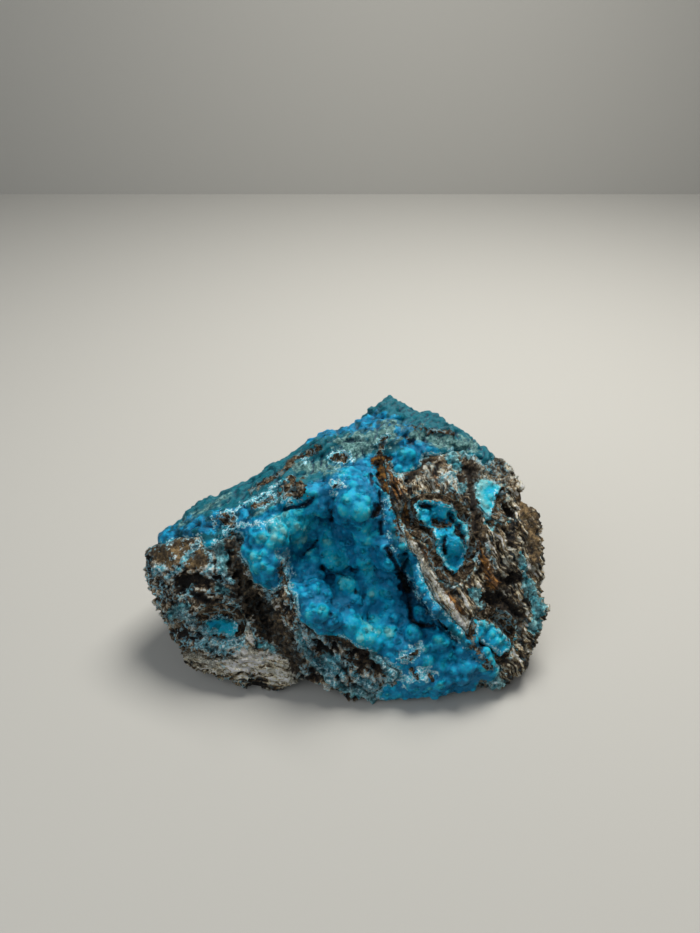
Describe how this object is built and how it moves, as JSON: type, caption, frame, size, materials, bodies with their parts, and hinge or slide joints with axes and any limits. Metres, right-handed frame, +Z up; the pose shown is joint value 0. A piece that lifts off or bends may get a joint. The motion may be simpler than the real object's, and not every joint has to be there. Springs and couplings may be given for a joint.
{
  "type": "hemimorphite mineral specimen",
  "caption": "Hand-sized lump of brown limonite whose broken hollow and upper slope carry a blue-green botryoidal crust, with small crusted pockets beside it.",
  "frame": {"origin": "on the floor, below the middle of the specimen's box", "axes": "+X along the specimen's length, from its pointed tip to its blunt end; +Y away from the side that the broken blue face looks to; +Z up from the flat facet that it rests on"},
  "size_m": [0.0968, 0.0636, 0.0493],
  "materials": {
    "limonite": "rough, earthy and broken, with cream and golden layers",
    "hemimorphite": "waxy and slightly translucent, azure in the hollows and pale green-blue on the lumps"
  },
  "bodies": {
    "root": {"limonite_matrix": "limonite", "main_hemimorphite_crust": "hemimorphite", "twin_pocket_crust": "hemimorphite", "shoulder_pocket_crust": "hemimorphite", "corner_pocket_crust": "hemimorphite", "cheek_pocket_crust": "hemimorphite"}
  },
  "joints": []
}
